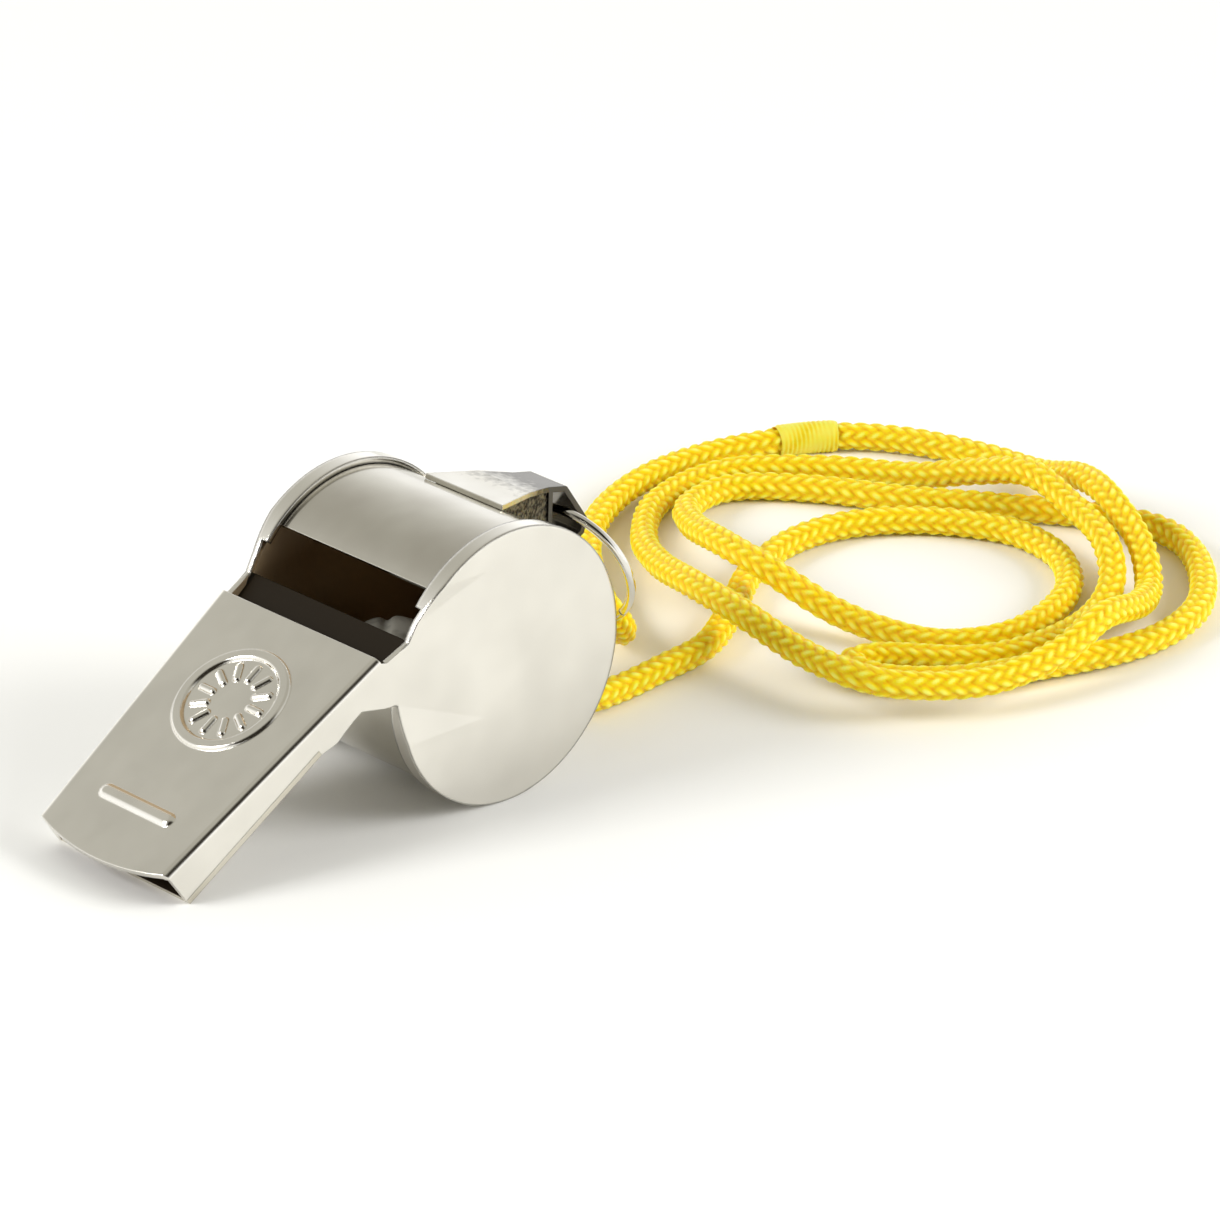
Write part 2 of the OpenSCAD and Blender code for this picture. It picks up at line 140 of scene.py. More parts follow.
class Shader:
    """A material's node tree with its principled shader."""

    def __init__(self, name: str) -> None:
        """Makes an empty material.

        Args:
            name: The material's name, after the real one.
        """
        self.material = bpy.data.materials.new(name)
        self.material.use_nodes = True
        self.tree = self.material.node_tree
        self.bsdf = self.tree.nodes["Principled BSDF"]

    def add(self, kind: str, **values: object) -> bpy.types.Node:
        """Adds one node and sets its inputs or properties.

        Args:
            kind: The node's type name.
            **values: Inputs by name with spaces as underscores, or node properties.

        Returns:
            The new node.
        """
        node = self.tree.nodes.new(kind)
        for key, value in values.items():
            label = key.replace("_", " ")
            if label in node.inputs:
                self.put(value, node.inputs[label])
            else:
                setattr(node, key, value)
        return node

    def put(self, value: object, socket: bpy.types.NodeSocket) -> None:
        """Links a socket to a socket, or sets a plain value on it.

        Args:
            value: An output socket, a number or a colour.
            socket: The input that takes it.
        """
        if isinstance(value, bpy.types.NodeSocket):
            self.tree.links.new(value, socket)
        else:
            socket.default_value = value

    def surface(self, **values: object) -> None:
        """Sets inputs of the principled shader.

        Args:
            **values: Inputs by name with spaces as underscores.
        """
        for key, value in values.items():
            self.put(value, self.bsdf.inputs[key.replace("_", " ")])

    def place_mm(self, *scale: float) -> bpy.types.NodeSocket:
        """Object coordinates counted in millimetres.

        Args:
            *scale: Optional stretch along X, Y and Z.

        Returns:
            A vector socket.
        """
        stretch = scale or (1.0, 1.0, 1.0)
        where = self.add("ShaderNodeTexCoord")
        mapping = self.add("ShaderNodeMapping", vector_type="POINT")
        mapping.inputs["Scale"].default_value = [s / MM for s in stretch]
        self.put(where.outputs["Object"], mapping.inputs["Vector"])
        return mapping.outputs["Vector"]

    def noise(
        self, vector: bpy.types.NodeSocket, grain_mm: float, detail: float = 3.0
    ) -> bpy.types.NodeSocket:
        """Noise whose grain has a size on the real object.

        Args:
            vector: Where it is read, in millimetres.
            grain_mm: Size of one grain.
            detail: Octaves of finer grain.

        Returns:
            The noise value from 0 to 1.
        """
        node = self.add("ShaderNodeTexNoise", Vector=vector, Scale=1 / grain_mm, Detail=detail)
        return node.outputs["Fac"]

    def band(
        self, value: bpy.types.NodeSocket, low: float, high: float, at: tuple = (0.3, 0.7)
    ) -> bpy.types.NodeSocket:
        """Maps a range of a value onto another range.

        Args:
            value: The value to read.
            low: Result at the lower end.
            high: Result at the upper end.
            at: The two ends of the value that is read.

        Returns:
            The mapped value.
        """
        node = self.add("ShaderNodeMapRange", Value=value)
        for name, number in zip(("From Min", "From Max", "To Min", "To Max"), (*at, low, high)):
            node.inputs[name].default_value = number
        return node.outputs["Result"]

    def mix(
        self, share: object, first: object, second: object
    ) -> bpy.types.NodeSocket:
        """Mixes two colours.

        Args:
            share: How much of the second colour shows.
            first: Colour or socket.
            second: Colour or socket.

        Returns:
            The mixed colour.
        """
        node = self.add("ShaderNodeMix", data_type="RGBA")
        self.put(share, node.inputs[0])
        self.put(first, node.inputs[6])
        self.put(second, node.inputs[7])
        return node.outputs[2]

    def bump(
        self,
        height: bpy.types.NodeSocket,
        depth_mm: float,
        strength: float = 1.0,
        normal: bpy.types.NodeSocket | None = None,
    ) -> bpy.types.NodeSocket:
        """Turns a height into a surface normal.

        Args:
            height: Height from 0 to 1.
            depth_mm: The real depth that a height of 1 stands for.
            strength: How much of it shows.
            normal: A normal to build on.

        Returns:
            The normal.
        """
        node = self.add("ShaderNodeBump", Height=height, Strength=strength, Distance=depth_mm * MM)
        if normal is not None:
            self.put(normal, node.inputs["Normal"])
        return node.outputs["Normal"]

    def maths(self, kind: str, first: object, second: object = 0.0) -> bpy.types.NodeSocket:
        """Works out one step of arithmetic.

        Args:
            kind: The operation's name.
            first: A number or a socket.
            second: A number or a socket.

        Returns:
            The result.
        """
        node = self.add("ShaderNodeMath", operation=kind)
        self.put(first, node.inputs[0])
        self.put(second, node.inputs[1])
        return node.outputs[0]

    def vector_maths(self, kind: str, first: object, second: object) -> bpy.types.NodeSocket:
        """Works out one step of vector arithmetic.

        Args:
            kind: The operation's name.
            first: A vector or a socket.
            second: A vector or a socket.

        Returns:
            The resulting vector, or the number that a dot product gives.
        """
        node = self.add("ShaderNodeVectorMath", operation=kind)
        self.put(first, node.inputs[0])
        self.put(second, node.inputs[1])
        return node.outputs["Value" if kind == "DOT_PRODUCT" else "Vector"]

    def part_of_place(self, axis: str) -> bpy.types.NodeSocket:
        """One coordinate of the place in the part, in millimetres.

        Args:
            axis: X, Y or Z.

        Returns:
            The coordinate.
        """
        return self.add("ShaderNodeSeparateXYZ", Vector=self.place_mm()).outputs[axis]

    def soft_edges(self, radius_mm: object) -> bpy.types.NodeSocket:
        """Rounds sharp edges in the light only, as a pressed edge catches it.

        Args:
            radius_mm: The edge's real radius, as a number or a socket.

        Returns:
            The normal.
        """
        node = self.add("ShaderNodeBevel", samples=6, Radius=self.maths("MULTIPLY", radius_mm, MM))
        return node.outputs["Normal"]


@dataclass(frozen=True)
class NickelPlate:
    """Bright nickel plating over pressed sheet: a warm mirror with faint drawing lines. It can
    carry painted shade under the rims, along their folds and on the inner side, and a speckled
    stain with a painted dark reflection at one end.

    Its lengths, radii and places are in millimetres.
    """

    name: str
    tint: str
    shade: str
    roughness: float = 0.13
    edge_mm: float = 0.12
    rim_edge_mm: float = 0.12
    inside: Inside = Inside.NOWHERE
    # colour and metalness of the inner side: painted shade
    painted_inner_shade: str = "#B09A7A"
    inner_shade_metallic: float = 0.25
    # painted shade colour for the rim corner and the rim folds, also the colour of the lug's stain
    painted_shade_and_stain: str = "#3A352D"
    dull_roughness: float = 0.42
    line_mm: float = 0.1667
    line_stretch: tuple[float, float, float] = (0.12, 2.2, 0.12)
    line_depth: float = 0.004
    cloud_mm: float = 6.25
    wave_mm: float = 2.857
    wave_depth: float = 0.05
    pit_mm: float = 0.1111
    pit_depth: float = 0.002
    rim_edge_r: float = 11.27
    rim_half: float = 0.3
    # where the band's painted corner shade under the rims ends, as |Y| in mm
    corner_shade_at: float = 0.0
    corner_shade_width: float = 0.2
    # where the lug's speckled stain and painted dark reflection begin, as X in mm
    stain_and_shade_from: float = 0.0
    stain_mm: float = 0.625
    stain_ragged: float = 5.0
    stain_and_shade_fade: float = 3.5

    @staticmethod
    def outwards(shader: Shader) -> bpy.types.NodeSocket:
        """The way from the barrel's middle to a place, in millimetres.

        Args:
            shader: The material's nodes.

        Returns:
            The vector.
        """
        centre = (BARREL_AXIS[0] / MM, 0.0, BARREL_AXIS[1] / MM)
        return shader.vector_maths("SUBTRACT", shader.place_mm(), centre)

    def off_rim(self, shader: Shader) -> bpy.types.NodeSocket:
        """How far a place is from the turned rims' radius, in millimetres.

        Args:
            shader: The material's nodes.

        Returns:
            The distance.
        """
        flat = shader.vector_maths("MULTIPLY", self.outwards(shader), (1.0, 0.0, 1.0))
        length = shader.add("ShaderNodeVectorMath", operation="LENGTH")
        shader.put(flat, length.inputs[0])
        off = shader.maths("SUBTRACT", length.outputs["Value"], self.rim_edge_r)
        return shader.maths("ABSOLUTE", off)

    def dull_and_shade_share(self, shader: Shader) -> bpy.types.NodeSocket | float:
        """How much dull finish and painted inner shade the sheet gets: 1 on its inner side, 0
        outside.

        Args:
            shader: The material's nodes.

        Returns:
            The share.
        """
        facing = shader.add("ShaderNodeNewGeometry").outputs["True Normal"]
        if self.inside is Inside.CHAMBER:
            away = shader.vector_maths("DOT_PRODUCT", self.outwards(shader), facing)
            inner = shader.band(away, 1.0, 0.0, (-1.0, 0.0))
            # the turned rims' edges stay bright and glossy: no painted shade, no dull finish
            ends = (self.rim_half, self.rim_half * 1.2)
            beside = shader.band(self.off_rim(shader), 0.0, 1.0, ends)
            return shader.maths("MULTIPLY", inner, beside)
        if self.inside is Inside.TOP_SIDE:
            up = shader.add("ShaderNodeSeparateXYZ", Vector=facing).outputs["Z"]
            return shader.band(up, 0.0, 1.0, (0.2, 0.4))
        return 0.0

    def make(self) -> bpy.types.Material:
        """Builds the finish.

        Returns:
            The material.
        """
        shader = Shader(self.name)
        place = shader.place_mm()
        lines = shader.noise(shader.place_mm(*self.line_stretch), self.line_mm, 4.0)
        cloud = shader.noise(place, self.cloud_mm, 2.0)
        # broad clouds of thicker and thinner plating: the eye sees a slight change of warmth
        colour = shader.mix(
            shader.band(cloud, 0.0, 1.0, (0.35, 0.68)), linear(self.tint), linear(self.shade)
        )
        if self.corner_shade_at > 0:
            # painted shade: a dark line on the band in the corner under the turned rims, where
            # shade falls
            middle = shader.maths("ABSOLUTE", shader.part_of_place("Y"))
            painted_corner_shade = shader.band(middle, 0.0, 0.85, (self.corner_shade_at - self.corner_shade_width, self.corner_shade_at))
            colour = shader.mix(painted_corner_shade, colour, linear(self.painted_shade_and_stain))
        if self.stain_and_shade_from > 0:
            # the soldering heat left the far end speckled; the dark that grows towards the end is a
            # painted dark reflection
            blotches = shader.noise(place, self.stain_mm, 5.0)
            ragged = shader.maths("MULTIPLY", blotches, self.stain_ragged)
            reach = shader.maths("ADD", shader.part_of_place("X"), ragged)
            ends = (self.stain_and_shade_from, self.stain_and_shade_from + self.stain_and_shade_fade)
            stain_and_shade = shader.band(reach, 0.0, 0.92, ends)
            colour = shader.mix(stain_and_shade, colour, linear(self.painted_shade_and_stain))
        near_rim = shader.band(self.off_rim(shader), 1.0, 0.0, (0.5, 0.8))
        edges = shader.soft_edges(shader.band(near_rim, self.edge_mm, self.rim_edge_mm, (0.0, 1.0)))
        if self.rim_edge_mm > self.edge_mm:
            # painted dark reflection: a dark line runs along the fold of the turned rims, where the
            # rounded edge would mirror the dark room
            facing = shader.add("ShaderNodeNewGeometry").outputs["True Normal"]
            painted_fold_shade = shader.band(
                shader.vector_maths("DOT_PRODUCT", edges, facing), 0.9, 0.0, (0.78, 0.92)
            )
            line = shader.maths("MULTIPLY", painted_fold_shade, near_rim)
            colour = shader.mix(line, colour, linear(self.painted_shade_and_stain))
        # painted shade: the inner side is coloured brown-black where light hardly reaches, and it
        # is made dull
        dull_and_shaded = self.dull_and_shade_share(shader)
        shader.surface(Base_Color=shader.mix(dull_and_shaded, colour, linear(self.painted_inner_shade)), Metallic=1.0)
        if self.inside is not Inside.NOWHERE:
            shader.surface(
                Metallic=shader.band(dull_and_shaded, 1.0, self.inner_shade_metallic, (0.0, 1.0)),
                Specular_IOR_Level=shader.band(dull_and_shaded, 0.5, 0.1, (0.0, 1.0)),
            )
        # handling haze: reflections soften a little in patches
        haze = shader.band(cloud, self.roughness * 0.75, self.roughness * 1.35, (0.3, 0.72))
        unpolished = shader.maths("MULTIPLY", dull_and_shaded, self.dull_roughness)
        # drawing lines of the rolled sheet, its faint waves and tiny pits under the plating
        drawn = shader.bump(lines, self.line_depth, 0.35, edges)
        wavy = shader.bump(shader.noise(place, self.wave_mm, 1.0), self.wave_depth, 0.35, drawn)
        pitted = shader.bump(shader.noise(place, self.pit_mm, 2.0), self.pit_depth, 0.25, wavy)
        shader.surface(Roughness=shader.maths("MAXIMUM", haze, unpolished), Normal=pitted)
        return shader.material


@dataclass(frozen=True)
class TinSolder:
    """Solder that ran and froze under the plating: dark, mottled and half dull."""

    name: str
    light: str
    dark: str
    edge_mm: float = 0.15
    fleck_mm: float = 0.3125
    fleck_depth: float = 0.03
    lump_mm: float = 0.769
    lump_depth: float = 0.15

    def make(self) -> bpy.types.Material:
        """Builds the finish.

        Returns:
            The material.
        """
        shader = Shader(self.name)
        place = shader.place_mm()
        flecks = shader.noise(place, self.fleck_mm, 5.0)
        lumps = shader.noise(place, self.lump_mm, 2.0)
        # flecks of bright metal between dark oxide
        colour = shader.mix(
            shader.band(flecks, 0.0, 1.0, (0.42, 0.62)), linear(self.dark), linear(self.light)
        )
        lumpy = shader.bump(lumps, self.lump_depth, 0.8, shader.soft_edges(self.edge_mm))
        shader.surface(
            Base_Color=colour,
            Metallic=0.85,
            Roughness=shader.band(flecks, 0.55, 0.28),
            Normal=shader.bump(flecks, self.fleck_depth, 0.7, lumpy),
        )
        return shader.material


@dataclass(frozen=True)
class MouldedPea:
    """The pea's pale moulded plastic: matt, with a fine grain and faint grey scuffs."""

    name: str = "moulded_pea"
    colour: str = "#B6B3A6"
    scuff: str = "#8F8C80"
    grain_mm: float = 0.2
    grain_depth: float = 0.02
    scuff_mm: float = 1.111

    def make(self) -> bpy.types.Material:
        """Builds the finish.

        Returns:
            The material.
        """
        shader = Shader(self.name)
        place = shader.place_mm()
        grain = shader.noise(place, self.grain_mm, 4.0)
        scuffs = shader.noise(place, self.scuff_mm, 4.0)
        colour = shader.mix(
            shader.band(scuffs, 0.0, 1.0, (0.5, 0.75)), linear(self.colour), linear(self.scuff)
        )
        shader.surface(
            Base_Color=colour,
            Roughness=shader.band(grain, 0.5, 0.7),
            Normal=shader.bump(grain, self.grain_depth, 0.6),
        )
        return shader.material


@dataclass(frozen=True)
class BraidedYarn:
    """Yellow polyester yarn: silky filaments, with a painted highlight on their crowns and a
    painted orange shade in the gaps.
    """

    name: str
    # top: painted highlight colour of the yarn crowns, also the sheen tint
    top: str
    middle: str
    painted_gap_shade: str
    patch_mm: float = 2.0
    fuzz_mm: float = 0.0714
    fibre_depth: float = 0.03
    glow_depth: float = 0.5

    def make(self) -> bpy.types.Material:
        """Builds the finish.

        Returns:
            The material.
        """
        shader = Shader(self.name)
        height = shader.add("ShaderNodeAttribute", attribute_name="yarn_height").outputs["Fac"]
        along = shader.add("ShaderNodeAttribute", attribute_name="yarn_along").outputs["Fac"]
        place = shader.place_mm()
        patch = shader.noise(place, self.patch_mm, 2.0)
        filament = shader.add("ShaderNodeTexWave", Scale=1.0, Distortion=1.5, Detail=2.0)
        across = shader.add("ShaderNodeCombineXYZ", X=along)
        shader.put(across.outputs["Vector"], filament.inputs["Vector"])
        # painted shade: the gaps between the yarns are deep orange; painted highlight: their crowns
        # are pale yellow
        low = shader.mix(
            shader.band(height, 0.0, 1.0, (0.1, 0.6)), linear(self.painted_gap_shade), linear(self.middle)
        )
        high = shader.mix(shader.band(height, 0.0, 1.0, (0.72, 0.98)), low, linear(self.top))
        colour = shader.mix(shader.band(patch, 0.0, 0.2, (0.4, 0.7)), high, linear(self.middle))
        fine = shader.bump(filament.outputs["Fac"], self.fibre_depth, 0.5)
        fuzz = shader.bump(shader.noise(place, self.fuzz_mm, 2.0), self.fibre_depth, 0.35, fine)
        shader.surface(
            Base_Color=colour,
            Roughness=0.38,
            Specular_IOR_Level=0.3,
            Sheen_Weight=0.1,
            Sheen_Roughness=0.4,
            Sheen_Tint=linear(self.top),
            # light goes a little way into the yarn and comes back deep yellow
            Subsurface_Weight=0.35,
            Subsurface_Scale=self.glow_depth * MM,
            Normal=fuzz,
        )
        return shader.material


@dataclass(frozen=True)
class PhotoPaper:
    """The seamless white paper that the whistle was photographed on."""

    name: str = "white_paper"
    colour: str = "#FBFBF9"
    tooth_mm: float = 0.667
    tooth_depth: float = 0.01

    def make(self) -> bpy.types.Material:
        """Builds the finish.

        Returns:
            The material.
        """
        shader = Shader(self.name)
        tooth = shader.noise(shader.place_mm(), self.tooth_mm, 3.0)
        shader.surface(
            Base_Color=linear(self.colour),
            Roughness=0.85,
            Normal=shader.bump(tooth, self.tooth_depth, 0.2),
        )
        return shader.material


def mesh_piece(
    name: str,
    points: list[Vector],
    faces: list[tuple[int, ...]],
    material: bpy.types.Material,
) -> bpy.types.Object:
    """Makes a smooth-shaded mesh object.

    Args:
        name: The piece's name.
        points: Its points in metres.
        faces: Its faces by point number.
        material: Its finish.

    Returns:
        The new object, linked to the scene.
    """
    mesh = bpy.data.meshes.new(name)
    mesh.from_pydata([tuple(p) for p in points], [], faces)
    mesh.polygons.foreach_set("use_smooth", [True] * len(mesh.polygons))
    mesh.update()
    mesh.materials.append(material)
    piece = bpy.data.objects.new(name, mesh)
    bpy.context.scene.collection.objects.link(piece)
    LOG.info("made %s with %d faces in %s", name, len(faces), material.name)
    return piece


@dataclass
class Studio:
    """Camera, paper and soft lights of the photograph."""

    focal_mm: float = 206.6
    sensor_mm: float = 36.0
    azimuth_deg: float = -45.21
    elevation_deg: float = 23.39
    roll_deg: float = 1.70
    distance: float = 0.5677
    aim: tuple[float, float, float] = (0.028777, 0.0, 0.00706)
    paper_half: float = 1.6
    sky_low: str = "#FFFFFF"
    sky_high: str = "#A7A59C"
    sky_ends: tuple[float, float] = (0.2, 0.78)
    sky_strength: float = 1.31
    dark_way: tuple[float, float, float] = (-0.6, -0.7, 0.45)
    dark_edge: tuple[float, float] = (0.68, 0.9)
    dark_tint: str = "#2A2620"
    key_place: tuple[float, float, float] = (-0.85, 0.35, 0.6)
    key_size: float = 0.4
    fill_place: tuple[float, float, float] = (0.55, -0.75, 0.5)
    fill_size: float = 0.6
    watts: float = 7.0

    def camera(self) -> bpy.types.Object:
        """Places the camera where the photograph was taken from.

        Returns:
            The camera.
        """
        turn, rise = math.radians(self.azimuth_deg), math.radians(self.elevation_deg)
        roll = math.radians(self.roll_deg)
        back = Vector(
            (math.sin(turn) * math.cos(rise), -math.cos(turn) * math.cos(rise), math.sin(rise))
        )
        right = Vector((0, 0, 1)).cross(back).normalized()
        up = back.cross(right)
        side = math.cos(roll) * right + math.sin(roll) * up
        top = -math.sin(roll) * right + math.cos(roll) * up
        data = bpy.data.cameras.new("photo_camera")
        data.lens = self.focal_mm
        data.sensor_width = self.sensor_mm
        data.clip_start, data.clip_end = 0.01, 10.0
        camera = bpy.data.objects.new("photo_camera", data)
        turned = Matrix((side, top, back)).transposed().to_4x4()
        camera.matrix_world = (
            Matrix.Translation(Vector(self.aim) + back * self.distance) @ turned
        )
        bpy.context.scene.collection.objects.link(camera)
        bpy.context.scene.camera = camera
        return camera

    def paper(self) -> bpy.types.Object:
        """Lays the paper under the whistle.

        Returns:
            The paper.
        """
        signs = ((-1, -1), (1, -1), (1, 1), (-1, 1))
        corners = [Vector((x, y, 0.0)) * self.paper_half for x, y in signs]
        paper = mesh_piece("paper", corners, [(0, 1, 2, 3)], PhotoPaper().make())
        return paper

    def sky(self) -> None:
        """Sets a pale surround: greyer overhead, with the dark room behind the camera."""
        world = bpy.data.worlds.new("studio")
        bpy.context.scene.world = world
        world.use_nodes = True
        tree = world.node_tree
        background = tree.nodes["Background"]
        where = tree.nodes.new("ShaderNodeTexCoord")
        split = tree.nodes.new("ShaderNodeSeparateXYZ")
        ramp = tree.nodes.new("ShaderNodeValToRGB")
        tree.links.new(where.outputs["Generated"], split.inputs["Vector"])
        tree.links.new(split.outputs["Z"], ramp.inputs["Fac"])
        low, high = ramp.color_ramp.elements
        low.position, high.position = self.sky_ends
        low.color, high.color = linear(self.sky_low), linear(self.sky_high)
        nearness = tree.nodes.new("ShaderNodeVectorMath")
        nearness.operation = "DOT_PRODUCT"
        nearness.inputs[1].default_value = Vector(self.dark_way).normalized()
        tree.links.new(where.outputs["Generated"], nearness.inputs[0])
        patch = tree.nodes.new("ShaderNodeMapRange")
        patch.interpolation_type = "SMOOTHSTEP"
        patch.inputs["From Min"].default_value = self.dark_edge[0]
        patch.inputs["From Max"].default_value = self.dark_edge[1]
        tree.links.new(nearness.outputs["Value"], patch.inputs["Value"])
        blend = tree.nodes.new("ShaderNodeMix")
        blend.data_type = "RGBA"
        tree.links.new(patch.outputs["Result"], blend.inputs[0])
        tree.links.new(ramp.outputs["Color"], blend.inputs[6])
        blend.inputs[7].default_value = linear(self.dark_tint)
        tree.links.new(blend.outputs[2], background.inputs["Color"])
        background.inputs["Strength"].default_value = self.sky_strength

    def softbox(
        self,
        name: str,
        place: tuple[float, float, float],
        size: float,
        in_mirrors: bool = True,
    ) -> bpy.types.Object:
        """Adds one square soft light aimed at the whistle.

        Args:
            name: The light's name.
            place: Where it hangs, in metres.
            size: Its edge in metres.
            in_mirrors: Whether the plating shows it.

        Returns:
            The light.
        """
        data = bpy.data.lights.new(name, "AREA")
        data.size = size
        data.energy = self.watts
        light = bpy.data.objects.new(name, data)
        light.location = place
        aim = Vector(self.aim) - Vector(place)
        light.rotation_euler = aim.to_track_quat("-Z", "Y").to_euler()
        light.visible_glossy = in_mirrors
        bpy.context.scene.collection.objects.link(light)
        return light

    def build(self) -> None:
        """Sets up paper, surround and lights."""
        self.paper()
        self.sky()
        self.softbox("key_left", self.key_place, self.key_size)
        # the plating doesn't show this one, so that the folds keep their dark lines
        self.softbox("fill_right", self.fill_place, self.fill_size, in_mirrors=False)


@dataclass
class BraidedCord:
    """The lanyard cord: one loop of round braid through the ring, with its sewn join."""

    line: list[tuple[float, float, float]] = field(default_factory=lambda: CORD_LINE)
    diameter: float = 0.0025
    step: float = 0.00022
    sides: int = 40
    yarns: int = 8
    filaments: float = 4.0
    turn_length: float = 0.0108
    relief: float = 0.00032
    crown_power: float = 0.6
    swell_power: float = 0.8
    swell_low: float = 0.2
    bend_from: tuple[float, float, float] = (0.034, 0.0, 0.001)
    bend_to: tuple[float, float, float] = (0.0255, 0.0, 0.0078)
    join_length: float = 0.0058
    join_radius: float = 0.00145
    join_lap: float = 0.00003
    thread_pitch: float = 0.00042
    thread_depth: float = 0.00012
    # yarn colours: painted crown highlight, middle, painted gap shade
    finish: BraidedYarn = BraidedYarn("yellow_yarn", "#FFFC72", "#FFE206", "#FFB800")
    thread: BraidedYarn = BraidedYarn("sewing_thread", "#FFF060", "#FFD80C", "#F2A800")

    def smooth(self, step: float) -> list[Vector]:
        """A smooth closed curve through the line's points, at even steps.

        Args:
            step: Distance between the points that come back.

        Returns:
            The points, without the first one repeated.
        """
        knots = [Vector(p) for p in self.line]
        count = len(knots)
        dense: list[Vector] = []
        for i in range(count):
            a, b, c, d = (knots[(i + k) % count] for k in (-1, 0, 1, 2))
            t1 = (b - a).length ** 0.5
            t2 = t1 + (c - b).length ** 0.5
            t3 = t2 + (d - c).length ** 0.5
            parts = max(int((c - b).length / 0.0004), 2)
            for k in range(parts):
                t = t1 + (t2 - t1) * k / parts
                p1 = a * ((t1 - t) / t1) + b * (t / t1)
                p2 = b * ((t2 - t) / (t2 - t1)) + c * ((t - t1) / (t2 - t1))
                p3 = c * ((t3 - t) / (t3 - t2)) + d * ((t - t2) / (t3 - t2))
                q1 = p1 * ((t2 - t) / t2) + p2 * (t / t2)
                q2 = p2 * ((t3 - t) / (t3 - t1)) + p3 * ((t - t1) / (t3 - t1))
                dense.append(q1 * ((t2 - t) / (t2 - t1)) + q2 * ((t - t1) / (t2 - t1)))
        runs = [(dense[(i + 1) % len(dense)] - p).length for i, p in enumerate(dense)]
        total = sum(runs)
        wanted = round(total / step)
        out: list[Vector] = []
        i, done = 0, 0.0
        for k in range(wanted):
            goal = total * k / wanted
            while done + runs[i] < goal:
                done += runs[i]
                i += 1
            share = (goal - done) / runs[i]
            out.append(dense[i].lerp(dense[(i + 1) % len(dense)], share))
        return out

    @staticmethod
    def frames(points: list[Vector]) -> list[tuple[Vector, Vector]]:
        """Two directions square to the curve at each point, turning as little as they can.

        Args:
            points: A closed curve.

        Returns:
            A side and an upward direction for each point; the loop's total twist is spread.
        """
        count = len(points)
        ways = [(points[(i + 1) % count] - points[i - 1]).normalized() for i in range(count)]
        side = ways[0].cross(Vector((0, 0, 1))).normalized()
        sides = [side]
        for i in range(1, count + 1):
            way = ways[i % count]
            side = (side - way * side.dot(way)).normalized()
            sides.append(side)
        first, last, way = sides[0], sides[-1], ways[0]
        twist = math.atan2(way.dot(last.cross(first)), last.dot(first))
        out = []
        for i in range(count):
            turned = Matrix.Rotation(twist * i / count, 3, ways[i]) @ sides[i]
            out.append((turned, ways[i].cross(turned)))
        return out

    def yarn(self, along: float, around: float) -> tuple[float, float]:
        """The braid's surface at one place, where each yarn runs over two and under two.

        Args:
            along: Distance along the cord in metres.
            around: Share of a turn around it, from 0 to 1.

        Returns:
            Height from 0 to 1, and a running number across the top yarn's filaments.
        """
        first = self.yarns * (around + along / self.turn_length)
        second = self.yarns * (around - along / self.turn_length)
        place = (math.floor(first) + math.floor(second)) % 4
        if place < 2:
            across, length = first % 1.0, (second % 1.0 + place) / 2
        else:
            across, length = second % 1.0, (first % 1.0 + place - 2) / 2
        crown = max(0.0, 1.0 - (2 * across - 1) ** 2) ** self.crown_power
        rise = math.sin(math.pi * length) ** self.swell_power
        swell = self.swell_low + (1.0 - self.swell_low) * rise
        return crown * swell, across * self.filaments

    def build(self) -> bpy.types.Object:
        """Makes the cord and its join.

        Returns:
            The cord.
        """
        points = self.smooth(self.step)
        turns = self.frames(points)
        count, sides = len(points), self.sides
        total = sum((points[(i + 1) % count] - p).length for i, p in enumerate(points))
        # whole repeats of the braid, so that the loop closes without a fault
        self.turn_length = total / round(total / self.turn_length)
        verts: list[Vector] = []
        heights: list[float] = []
        lines: list[float] = []
        for i, (point, (side, up)) in enumerate(zip(points, turns)):
            for k in range(sides):
                height, filament = self.yarn(total * i / count, k / sides)
                angle = 2 * math.pi * k / sides
                radius = self.diameter / 2 - self.relief * (1.0 - height)
                verts.append(point + radius * (math.cos(angle) * side + math.sin(angle) * up))
                heights.append(height)
                lines.append(filament)
        faces = [
            (
                i * sides + k,
                i * sides + (k + 1) % sides,
                (i + 1) % count * sides + (k + 1) % sides,
                (i + 1) % count * sides + k,
            )
            for i in range(count)
            for k in range(sides)
        ]
        cord = mesh_piece("lanyard_cord", verts, faces, self.finish.make())
        for name, values in (("yarn_height", heights), ("yarn_along", lines)):
            layer = cord.data.attributes.new(name, "FLOAT", "POINT")
            layer.data.foreach_set("value", values)
        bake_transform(cord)
        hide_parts("cord_bight", "cord_coil", "cord_return")
        join = self.join(points, turns, total)
        LOG.info("cord length %.4f m", total)
        return cord

